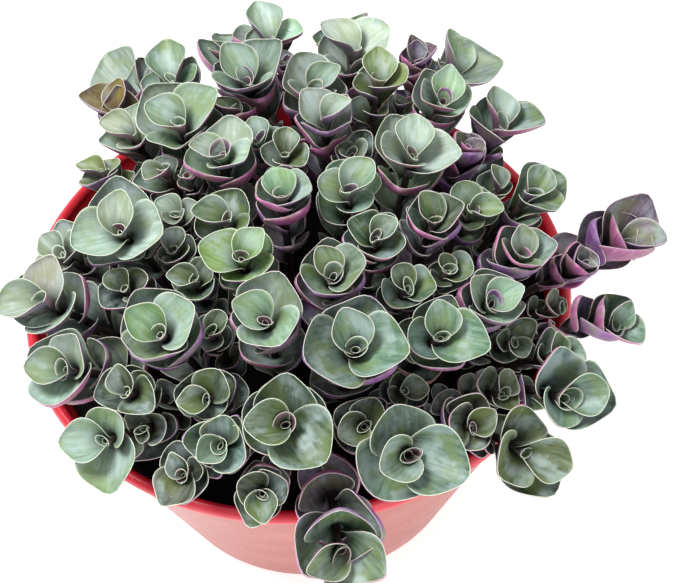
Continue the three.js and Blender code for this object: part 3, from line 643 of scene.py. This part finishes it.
def leaf_colours(shoot, age, draw):
    """Colours of the upper face and the underside of one leaf."""
    young = max(0, YOUNG_SHARE - YOUNG_FADE * age)
    old = min(1, OLD_GAIN * max(0, age - OLD_FROM))
    violet = smoothstep(shoot.blush, *VIOLET_BLUSH) * min(1, VIOLET_GAIN * max(0, age - VIOLET_FROM))
    aged = OLD_TONE + (AGED_VIOLET - OLD_TONE) * violet
    old = max(old, violet)
    upper = shoot.tone * (1 - young) + CUP_TONE * young
    upper = upper * (1 - AGED_SHARE * old) + aged * AGED_SHARE * old
    upper = upper * draw.uniform(*UPPER_BRIGHTNESS) * (1 + HUE_STRAY * draw.normal(size=3))
    # Painted light: the upper faces of the heads at the back are brightened.
    upper = upper * (1 + TALL_PAINTED_LIGHT * shoot.tall)
    purple = min(1, PURPLE_SHARE + PURPLE_BY_BLUSH * shoot.blush + PURPLE_BY_AGE * age)
    under = PURPLE_UNDER if draw.uniform() < PURPLE_ODDS else MAGENTA_UNDER
    under = GREY_UNDER * (1 - purple) + under * purple
    under = under * draw.uniform(*UNDER_BRIGHTNESS)
    return np.clip(upper, 0, 1), np.clip(under, 0, 1)


# Meshes

UPPER, UNDER, EDGE, STALK = range(4)


class Foliage:
    """The mesh of one node's stems and leaves, built sheet by sheet from bmesh grids."""

    def __init__(self):
        self.mesh = bmesh.new()
        self.numbers = {name: self.mesh.verts.layers.float.new(name)
                        for name in ("edge", "along", "across", "seed", "blush")}
        self.colours = {name: self.mesh.verts.layers.float_color.new(name) for name in ("upper", "under")}

    def sheet(self, faces, shape, slot):
        """Adds a grid whose place and facts come from shape(s, v), with v from -1 to 1 along its columns."""
        made = bmesh.ops.create_grid(self.mesh, x_segments=faces[0], y_segments=faces[1], size=1)
        verts = made["verts"]
        v = np.array([-vert.co.x for vert in verts])
        s = np.array([0.5 + vert.co.y / 2 for vert in verts])
        points, facts, upper, under = shape(s, v)
        for index, vert in enumerate(verts):
            vert.co = points[index] * MM
            for name, layer in self.numbers.items():
                vert[layer] = float(facts[name][index])
            vert[self.colours["upper"]] = (*upper, 1)
            vert[self.colours["under"]] = (*under, 1)
        for face in {face for vert in verts for face in vert.link_faces}:
            face.smooth = True
            face.material_index = slot
        bmesh.ops.remove_doubles(self.mesh, verts=verts, dist=WELD)

    def leaf(self, leaf, draw):
        """Adds one open leaf."""
        if not leaf.fit():
            return
        upper, under = leaf_colours(leaf.shoot, leaf.age, draw)
        seed = draw.uniform(0, 100)

        def shape(s, v):
            v = np.sin(math.pi / 2 * v)
            s = (1 - PACKED_TO_TIP) * s + PACKED_TO_TIP * np.sin(math.pi / 2 * s)
            width = half_width(s, leaf.widest * leaf.length, leaf.pointed)
            facts = {
                "edge": np.minimum((1 - np.abs(v)) * width, (1 - s) * leaf.length),
                "along": s * leaf.length,
                "across": v * width,
                "seed": np.full(len(s), seed),
                "blush": np.full(len(s), leaf.shoot.blush),
            }
            return press(leaf.points(s, v), leaf.shoot), facts, upper, under

        self.sheet(LEAF_GRID, shape, UPPER)

    def cups(self, shoot, draw):
        """Adds the rolled leaves in the middle of a head, one in the other."""
        whole = min(CUP_LARGEST, shoot.span / USUAL_SPAN) * draw.uniform(*CUP_RANGE)
        start = draw.uniform(0, 2 * math.pi)
        for share in CUP_SHARES:
            self.cup(shoot, whole * share, start + share, draw.uniform(*PINCH_RANGE), draw)

    def cup(self, shoot, size, start, pinch, draw):
        """Adds one rolled leaf, narrow at its foot, with its tip as the highest point of the rim."""
        upper, under = leaf_colours(shoot, 0, draw)
        first = turned(shoot.first, shoot.axis, start)
        across = np.cross(shoot.axis, first)
        base = shoot.head - shoot.axis * CUP_SINK

        def shape(s, v):
            around = math.pi * CUP_TURNS * v * shoot.turn
            swell = CUP_FOOT + (1 - CUP_FOOT) * s ** CUP_SWELLING
            radius = CUP_RADIUS * size * swell * (1 - CUP_OVERLAP * v)
            height = (CUP_LEAST_HEIGHT + (CUP_HEIGHT - CUP_LEAST_HEIGHT) * size) * s
            height = height * (1 - CUP_TIP + CUP_TIP * np.cos(math.pi * v))
            points = (base + np.outer(radius * np.cos(around), first)
                      + np.outer(pinch * radius * np.sin(around), across) + np.outer(height, shoot.axis))
            facts = {
                "edge": (1 - s) * CUP_HEIGHT * size,
                "along": s * CUP_HEIGHT * size,
                "across": v * ROUND_ACROSS,
                "seed": np.full(len(s), start),
                "blush": np.full(len(s), shoot.blush),
            }
            return points, facts, upper, under

        self.sheet(CUP_GRID, shape, UPPER)

    def stalk(self, shoot):
        """Adds the stem from the bottom of its hole to its head."""
        foot = shoot.root.copy()
        foot[2] = SOIL_TOP - STEM_SINK
        up = np.array([0.0, 0, 1])

        def shape(s, v):
            points = []
            for share, turn in zip(s, v):
                t = max(0, (share - SUNK_SHARE) / (1 - SUNK_SHARE))
                if share < SUNK_SHARE:
                    axis, centre = up, foot + (shoot.root - foot) * share / SUNK_SHARE
                else:
                    leaning = shoot.tangent(t) * min(1, BENDING * t)
                    axis, centre = unit(up * max(0, UPRIGHT_UNTIL - t) + leaning), shoot.point(t)
                zero = unit(shoot.first - axis * np.dot(axis, shoot.first))
                side = np.cross(axis, zero)
                joint = 1 + JOINT_SWELL * math.cos(JOINT_PITCH * share)
                radius = (STALK_RADIUS + STALK_GROWTH * t) * joint
                angle = math.pi * turn
                points.append(centre + radius * (math.cos(angle) * zero + math.sin(angle) * side))
            facts = {
                "edge": np.full(len(s), NO_EDGE),
                "along": s * shoot.length,
                "across": v * ROUND_ACROSS,
                "seed": np.full(len(s), shoot.head[0]),
                "blush": np.full(len(s), shoot.blush),
            }
            return np.array(points), facts, STALK_TONE, STALK_TONE

        self.sheet(STALK_GRID, shape, STALK)

    def finish(self, name, materials):
        """Makes the object, with its thickness, and lets it stand for the node."""
        data = bpy.data.meshes.new(name + "_foliage")
        self.mesh.to_mesh(data)
        self.mesh.free()
        piece = bpy.data.objects.new(name + "_foliage", data)
        bpy.context.collection.objects.link(piece)
        for material in materials:
            data.materials.append(material)
        smooth = piece.modifiers.new("smooth", "SUBSURF")
        smooth.levels = smooth.render_levels = 1
        wall = piece.modifiers.new("thickness", "SOLIDIFY")
        wall.thickness = THICKNESS * MM
        wall.offset = 0
        wall.material_offset = UNDER
        wall.material_offset_rim = EDGE
        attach(piece, "root")
        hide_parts(name)
        return piece


# Materials

class Wire:
    """A shader socket that takes part in ordinary arithmetic."""

    def __init__(self, graph, socket):
        self.graph, self.socket = graph, socket

    def maths(self, operation, *values):
        return self.graph.node("ShaderNodeMath", dict(enumerate(values)), operation=operation)

    def __add__(self, other):
        return self.maths("ADD", self, other)

    def __rsub__(self, other):
        return self.maths("SUBTRACT", other, self)

    def __mul__(self, other):
        return self.maths("MULTIPLY", self, other)

    __radd__ = __add__
    __rmul__ = __mul__


class Graph:
    """One node material."""

    def __init__(self, name):
        self.material = bpy.data.materials.new(name)
        self.material.use_nodes = True
        self.tree = self.material.node_tree
        self.shader = self.tree.nodes["Principled BSDF"]

    def node(self, kind, inputs=None, output=0, **settings):
        """Makes a node of any kind, with its settings and what goes into its sockets."""
        made = self.tree.nodes.new(kind)
        for key, value in settings.items():
            setattr(made, key, value)
        for key, value in (inputs or {}).items():
            self.feed(made.inputs[key], value)
        return Wire(self, made.outputs[output])

    def feed(self, socket, value):
        if isinstance(value, Wire):
            self.tree.links.new(value.socket, socket)
        elif isinstance(value, np.ndarray):
            socket.default_value = (*value.tolist(), 1)
        else:
            socket.default_value = value

    def attribute(self, name, output="Fac"):
        return self.node("ShaderNodeAttribute", output=output, attribute_name=name)

    def place(self):
        return self.node("ShaderNodeTexCoord", output="Object")

    def vector(self, x, y, z):
        return self.node("ShaderNodeCombineXYZ", {0: x, 1: y, 2: z})

    def noise(self, vector, scale, detail=2.0, roughness=0.5):
        inputs = {"Vector": vector, "Scale": scale, "Detail": detail, "Roughness": roughness}
        return self.node("ShaderNodeTexNoise", inputs)

    def step(self, value, low, high):
        inputs = {"Value": value, "From Min": low, "From Max": high}
        return self.node("ShaderNodeMapRange", inputs, interpolation_type="SMOOTHSTEP")

    def mix(self, share, first, second, blend="MIX"):
        inputs = {0: share, 6: first, 7: second}
        return self.node("ShaderNodeMix", inputs, output=2, data_type="RGBA", blend_type=blend)

    def bump(self, height, distance, strength=1.0):
        inputs = {"Height": height, "Distance": distance, "Strength": strength}
        return self.node("ShaderNodeBump", inputs)

    def finish(self, **sockets):
        for name, value in sockets.items():
            self.feed(self.shader.inputs[name.replace("_", " ")], value)
        return self.material


def leaf_graph(name, colour, streak_depth, pale_wax_and_sheen, pale_fringe, margin, margin_tone):
    """A waxy leaf face: lengthwise streaks, soft patches, pale patches that are partly glaucous wax and
    partly painted sheen, pale flecks that are partly dust and partly painted glints, painted shade at the
    foot, and a thin pale margin.
    """
    g = Graph(name)
    base = g.attribute(colour, "Color")
    edge, along, across, seed = (g.attribute(fact) for fact in ("edge", "along", "across", "seed"))
    streak = g.noise(g.vector(across * 0.6, along * 0.09, seed), 1.0, 4.0, 0.62)
    patch = g.noise(g.vector(across * 0.12, along * 0.1, seed + 7), 1.0, 3.0, 0.55)
    speck = g.noise(g.place(), 900.0, 2.0, 0.6)
    light = g.mix(0.3, base, linear(206, 216, 208))
    deep = g.mix(0.5, base, SHADE_TONE)
    dull, bright = g.mix(streak_depth, base, deep), g.mix(streak_depth, base, light)
    shaded = g.mix(g.step(streak, 0.3, 0.72), dull, bright)
    patched = g.mix(g.step(patch, 0.45, 0.62) * 0.7, shaded, g.mix(0.65, base, CUP_TONE))
    # Pale blue-white patches: partly glaucous wax, partly painted sheen.
    wax_and_sheen_noise = g.noise(g.vector(across * 0.1, along * 0.08, seed + 31), 1.0, 3.0, 0.6)
    wax_and_sheen_mixed = g.mix(g.step(wax_and_sheen_noise, 0.46, 0.64) * pale_wax_and_sheen, patched, WAX_AND_SHEEN_TONE)
    # Fine pale flecks: partly dust, partly painted glints.
    glint_and_dust_flecks = g.mix(g.step(g.noise(g.place(), 560.0, 1.0), 0.7, 0.76) * 0.3, wax_and_sheen_mixed, WAX_AND_SHEEN_TONE)
    # Painted shade: the colour is mixed towards the shade tone at the foot of each leaf, fading out over its
    # first 10 mm, for the shade in the middle of a head.
    foot = g.step(along, 0.0, 10.0)
    foot_shaded = g.mix(foot, g.mix(0.75, glint_and_dust_flecks, SHADE_TONE), glint_and_dust_flecks)
    fringe = (1 - g.step(edge, 0.2, 1.5)) * pale_fringe
    fringed = g.mix(fringe, foot_shaded, margin_tone)
    line = 1 - g.step(edge + speck * 0.1, margin, margin + 0.1)
    colour_out = g.mix(line, fringed, margin_tone)
    fine = streak * 0.6 + speck * 0.4
    return g, colour_out, fine


def make_upper():
    g, colour, fine = leaf_graph("leaf_upper", "upper", streak_depth=0.75, pale_wax_and_sheen=0.5,
                                 pale_fringe=0.2, margin=0.03, margin_tone=CREAM)
    return g.finish(Base_Color=colour, Roughness=fine * 0.2 + 0.36, Normal=g.bump(fine, 0.0005, 0.35))


def make_under():
    g, colour, fine = leaf_graph("leaf_underside", "under", streak_depth=0.5, pale_wax_and_sheen=0.1,
                                 pale_fringe=0.08, margin=0.0, margin_tone=PINK_EDGE)
    return g.finish(Base_Color=colour, Roughness=fine * 0.2 + 0.34, Normal=g.bump(fine, 0.0005, 0.4))


def make_edge():
    g = Graph("leaf_margin")
    speck = g.noise(g.place(), 300.0, 2.0)
    pink = g.step(g.attribute("blush") + speck * 0.3, 0.55, 1.15)
    return g.finish(Base_Color=g.mix(pink, CREAM, PINK_EDGE), Roughness=0.5)


def make_stalk():
    g = Graph("stem_skin")
    along, across = g.attribute("along"), g.attribute("across")
    streak = g.noise(g.vector(across * 0.8, along * 0.12, 0.0), 1.0, 3.0)
    colour = g.mix(streak, linear(26, 13, 20), linear(64, 48, 46))
    return g.finish(Base_Color=colour, Roughness=0.5, Normal=g.bump(streak, 0.0004, 0.5))


def make_soil():
    g = Graph("damp_soil")
    crumb = g.noise(g.place(), 260.0, 6.0, 0.7)
    clod = g.noise(g.place(), 70.0, 3.0, 0.6)
    colour = g.mix(crumb, linear(2, 1, 2), linear(18, 12, 11))
    height = crumb * 0.6 + clod
    return g.finish(Base_Color=colour, Roughness=0.9, Specular_IOR_Level=0.15,
                    Normal=g.bump(height, 0.003, 1.0))


def make_plastic(name, tone, faded, cloudiness):
    """Moulded plastic with faint cloudy streaks round the pot and fine scuffs."""
    g = Graph(name)
    place = g.place()
    stretched = g.node("ShaderNodeMapping", {"Vector": place, "Scale": (1.0, 1.0, 2.6)})
    cloud = g.noise(stretched, 22.0, 4.0, 0.6)
    scuff = g.noise(place, 420.0, 3.0, 0.7)
    colour = g.mix(g.step(cloud, 0.38, 0.66) * cloudiness, tone, faded)
    colour = g.mix(g.step(scuff, 0.62, 0.78) * 0.25, colour, linear(250, 214, 206))
    height = cloud * 0.5 + scuff * 0.25
    return g.finish(Base_Color=colour, Roughness=scuff * 0.2 + 0.26, Normal=g.bump(height, 0.0006, 0.25))


# Pot

BODY, LIP, INSIDE = range(3)


def pot_profile():
    """Radius, height and finish of points from the middle of the base round the lip to the floor."""
    stations = np.array(SIDE, float)

    def side(inset):
        radii = np.interp(SIDE_SHARES, stations[:, 0], stations[:, 1]) - inset
        return [(radius, share * POT_HEIGHT) for radius, share in zip(radii, SIDE_SHARES)]

    profile = [(radius, height, BODY) for radius, height in [(0, 0), *FOOT_GROOVE, *side(0)]]
    middle = (RIM_RADIUS - LIP_WIDTH / 2, POT_HEIGHT - LIP_HEIGHT / 2)
    for angle in LIP_BEND:
        radius = middle[0] + math.cos(angle) * LIP_WIDTH / 2
        height = middle[1] + math.sin(angle) * LIP_HEIGHT / 2
        profile.append((radius, height, LIP))
    profile += [(radius, height, INSIDE) for radius, height in side(WALL)[::-1] if height > FLOOR + 1]
    profile += [(FLOOR_RADIUS, FLOOR, INSIDE), (0, FLOOR, INSIDE)]
    return profile


def make_pot():
    """The bowl pot, turned from its profile."""
    mesh = bmesh.new()
    profile = pot_profile()
    verts = [mesh.verts.new((radius * MM, 0, height * MM)) for radius, height, _ in profile]
    edges = [mesh.edges.new(pair) for pair in zip(verts[:-1], verts[1:])]
    bmesh.ops.spin(mesh, geom=verts + edges, axis=(0, 0, 1), cent=(0, 0, 0),
                   angle=2 * math.pi, steps=POT_STEPS, use_merge=True)
    bmesh.ops.remove_doubles(mesh, verts=mesh.verts, dist=WELD)
    bmesh.ops.recalc_face_normals(mesh, faces=mesh.faces)
    lip_low = (POT_HEIGHT - LIP_HEIGHT) * MM
    lip_middle = (RIM_RADIUS - LIP_WIDTH / 2) * MM
    for face in mesh.faces:
        middle = face.calc_center_median()
        outward = Vector((middle.x, middle.y, 0))
        faces_in = face.normal.dot(outward) < 0 and middle.z > 0.5 * FLOOR * MM
        face.smooth = True
        inner = faces_in or (middle.z > lip_low and outward.length < lip_middle)
        face.material_index = INSIDE if inner else (LIP if middle.z > lip_low else BODY)
    data = bpy.data.meshes.new("bowl_pot")
    mesh.to_mesh(data)
    mesh.free()
    pot = bpy.data.objects.new("bowl_pot", data)
    bpy.context.collection.objects.link(pot)
    data.materials.append(make_plastic("pot_body", linear(161, 69, 59), linear(176, 91, 77), 0.8))
    data.materials.append(make_plastic("pot_lip", linear(204, 32, 50), linear(224, 84, 96), 0.6))
    # Painted shade: the inside is a darker red than the lip, for the shade inside the pot.
    data.materials.append(make_plastic("pot_inside", linear(186, 24, 38), linear(204, 44, 52), 0.5))
    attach(pot, "root")
    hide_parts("pot")


# Studio

def make_camera():
    """The camera of the photograph."""
    data = bpy.data.cameras.new("view")
    data.sensor_fit = "HORIZONTAL"
    data.sensor_width = SENSOR
    data.lens = SENSOR * FOCAL / PHOTO[0]
    camera = bpy.data.objects.new("view", data)
    turn = Matrix([VIEW_RIGHT, VIEW_UP, VIEW_BACK]).transposed().to_4x4()
    camera.matrix_world = Matrix.Translation(Vector(EYE * MM)) @ turn
    bpy.context.collection.objects.link(camera)
    bpy.context.scene.camera = camera


def make_light(name, place, size, power):
    """A soft square lamp that shines on the plant."""
    data = bpy.data.lights.new(name, "AREA")
    data.size = size
    data.energy = power
    lamp = bpy.data.objects.new(name, data)
    lamp.location = place
    lamp.rotation_euler = (Vector(LIT_POINT) - Vector(place)).to_track_quat("-Z", "Y").to_euler()
    bpy.context.collection.objects.link(lamp)


def make_studio():
    """A pale floor, a pale sky and soft lamps."""
    mesh = bmesh.new()
    bmesh.ops.create_grid(mesh, x_segments=1, y_segments=1, size=FLOOR_SIZE)
    data = bpy.data.meshes.new("floor")
    mesh.to_mesh(data)
    mesh.free()
    floor = bpy.data.objects.new("floor", data)
    bpy.context.collection.objects.link(floor)
    g = Graph("pale_floor")
    data.materials.append(g.finish(Base_Color=linear(250, 250, 250), Roughness=0.9,
                                   Emission_Color=linear(255, 255, 255), Emission_Strength=FLOOR_GLOW))
    world = bpy.data.worlds.new("sky")
    world.use_nodes = True
    background = world.node_tree.nodes["Background"]
    background.inputs["Color"].default_value = (1, 1, 1, 1)
    background.inputs["Strength"].default_value = SKY_STRENGTH
    bpy.context.scene.world = world
    bpy.context.scene.view_settings.view_transform = "Standard"
    make_light("key", **KEY)
    make_light("fill", **FILL)


make_camera()
make_studio()
make_pot()
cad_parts["soil"].data.materials.clear()
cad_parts["soil"].data.materials.append(make_soil())
# A sheet's underside has the slot after its upper face's and its rim the one after that, so the
# stems' skin is there three times.
stalk_skin = make_stalk()
LEAF_MATERIALS = [make_upper(), make_under(), make_edge(), stalk_skin, stalk_skin, stalk_skin]
shoots = lay_out()
for node_name in sorted({shoot.name for shoot in shoots}):
    foliage = Foliage()
    for number, shoot in enumerate(shoots):
        if shoot.name == node_name:
            draw = np.random.default_rng(number)
            foliage.stalk(shoot)
            foliage.cups(shoot, draw)
            for age in shoot.ages():
                foliage.leaf(Leaf(shoot, age, draw), draw)
    foliage.finish(node_name, LEAF_MATERIALS)
